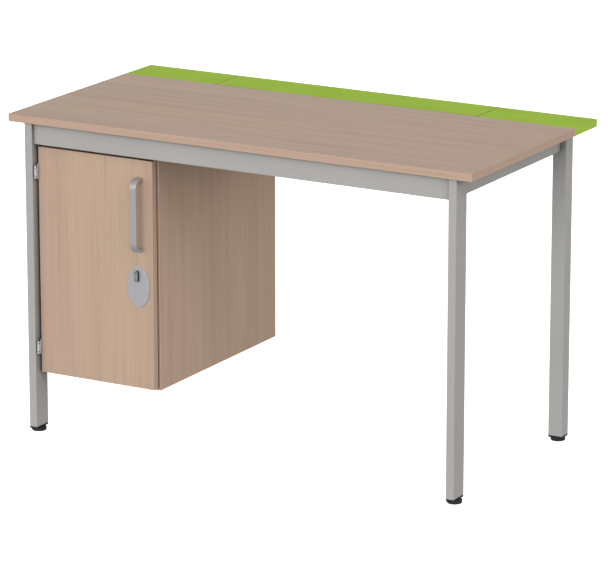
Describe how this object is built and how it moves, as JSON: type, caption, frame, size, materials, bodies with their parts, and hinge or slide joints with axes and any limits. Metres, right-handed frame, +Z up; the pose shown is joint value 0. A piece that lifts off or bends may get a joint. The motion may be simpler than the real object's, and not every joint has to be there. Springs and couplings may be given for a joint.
{
  "type": "teacher desk",
  "caption": "Teacher desk with a beech laminate top, lime green rear strip with a lifting cable flap, grey tube legs and a lockable door cabinet at the left.",
  "frame": {"origin": "on the floor, at the centre of the footprint with the door handle included", "axes": "+Z up, +X to the right of a person sitting at the desk and along the long side, -Y towards that person and out of the door"},
  "size_m": [1.2, 0.626, 0.76],
  "materials": {
    "frame_paint": "fine satin powder coat, light silver grey",
    "beech_laminate": "matte beech laminate, straight grain",
    "beech_edge": "matte beech edge band",
    "green_laminate": "lime green laminate, satin",
    "green_edge": "lime green edge band, satin",
    "beech_dowel": "fluted beech dowel",
    "hardboard": "pale faced hardboard",
    "black_plastic": "moulded black plastic",
    "glide_plastic": "moulded dark grey plastic",
    "zinc_steel": "bright zinc plate",
    "hinge_nickel": "nickel plated, satin",
    "satin_aluminium": "satin anodised",
    "lock_dark": "dark grey die cast",
    "lock_chrome": "polished",
    "clear_rubber": "translucent soft dots"
  },
  "bodies": {
    "desk_frame": {"cabinet_back": "hardboard", "cabinet_bottom": "beech_laminate", "cabinet_brackets": "zinc_steel", "cabinet_cam_bolts": "zinc_steel", "cabinet_cams": "zinc_steel", "cabinet_edge_bands": "beech_edge", "cabinet_frame_screws": "zinc_steel", "cabinet_shelf": "beech_laminate", "cabinet_side_left": "beech_laminate", "cabinet_side_right": "beech_laminate", "cabinet_top": "beech_laminate", "cable_tray": "frame_paint", "corner_plates": "frame_paint", "door_bumpers": "clear_rubber", "end_panel_dowels": "beech_dowel", "end_panel_edge_bands": "green_edge", "end_panel_left": "green_laminate", "end_panel_right": "green_laminate", "flap_bumpers": "clear_rubber", "flap_hinge_pins": "hinge_nickel", "flap_hinge_rail_leaves": "hinge_nickel", "foot_plugs": "black_plastic", "frame_screws": "zinc_steel", "front_rail": "frame_paint", "hinge_leg_leaves": "hinge_nickel", "hinge_pins": "hinge_nickel", "leg_front_left": "frame_paint", "leg_front_right": "frame_paint", "leg_rear_left": "frame_paint", "leg_rear_right": "frame_paint", "lock_strike": "zinc_steel", "panel_screws": "zinc_steel", "rear_rail": "frame_paint", "shelf_pins": "zinc_steel", "side_rail_left": "frame_paint", "side_rail_right": "frame_paint", "worktop": "beech_laminate", "worktop_edge_bands": "beech_edge"},
    "cable_flap": {"flap": "green_laminate", "flap_edge_bands": "green_edge", "flap_hinge_flap_leaves": "hinge_nickel", "flap_hinge_screws": "zinc_steel"},
    "cabinet_door": {"door_panel": "beech_laminate", "door_edge_bands": "beech_edge", "hinge_door_leaves": "hinge_nickel", "door_screws": "zinc_steel", "handle": "satin_aluminium", "handle_screws": "zinc_steel", "escutcheon": "satin_aluminium", "lock_body": "lock_dark"},
    "lock_cylinder": {"lock_plug": "lock_chrome", "lock_cam": "zinc_steel"},
    "foot_front_left": {"glide_front_left": "glide_plastic", "stud_front_left": "zinc_steel"},
    "foot_front_right": {"glide_front_right": "glide_plastic", "stud_front_right": "zinc_steel"},
    "foot_rear_left": {"glide_rear_left": "glide_plastic", "stud_rear_left": "zinc_steel"},
    "foot_rear_right": {"glide_rear_right": "glide_plastic", "stud_rear_right": "zinc_steel"}
  },
  "joints": [
    {"name": "door_hinge", "type": "hinge", "parent": "desk_frame", "child": "cabinet_door", "pos_m": [-0.5366, -0.295, 0.415], "axis": [0, 0, -1], "range_deg": [0, 180]},
    {"name": "flap_hinge", "type": "hinge", "parent": "desk_frame", "child": "cable_flap", "pos_m": [0, 0.2618, 0.7392], "axis": [-1, 0, 0], "range_deg": [0, 90]},
    {"name": "lock_turn", "type": "hinge", "parent": "cabinet_door", "child": "lock_cylinder", "pos_m": [-0.2685, -0.283, 0.411], "axis": [0, 1, 0], "range_deg": [0, 90]},
    {"name": "foot_front_left_height", "type": "slide", "parent": "desk_frame", "child": "foot_front_left", "axis": [0, 0, -1], "range_m": [0, 0.01]},
    {"name": "foot_front_right_height", "type": "slide", "parent": "desk_frame", "child": "foot_front_right", "axis": [0, 0, -1], "range_m": [0, 0.01]},
    {"name": "foot_rear_left_height", "type": "slide", "parent": "desk_frame", "child": "foot_rear_left", "axis": [0, 0, -1], "range_m": [0, 0.01]},
    {"name": "foot_rear_right_height", "type": "slide", "parent": "desk_frame", "child": "foot_rear_right", "axis": [0, 0, -1], "range_m": [0, 0.01]}
  ]
}
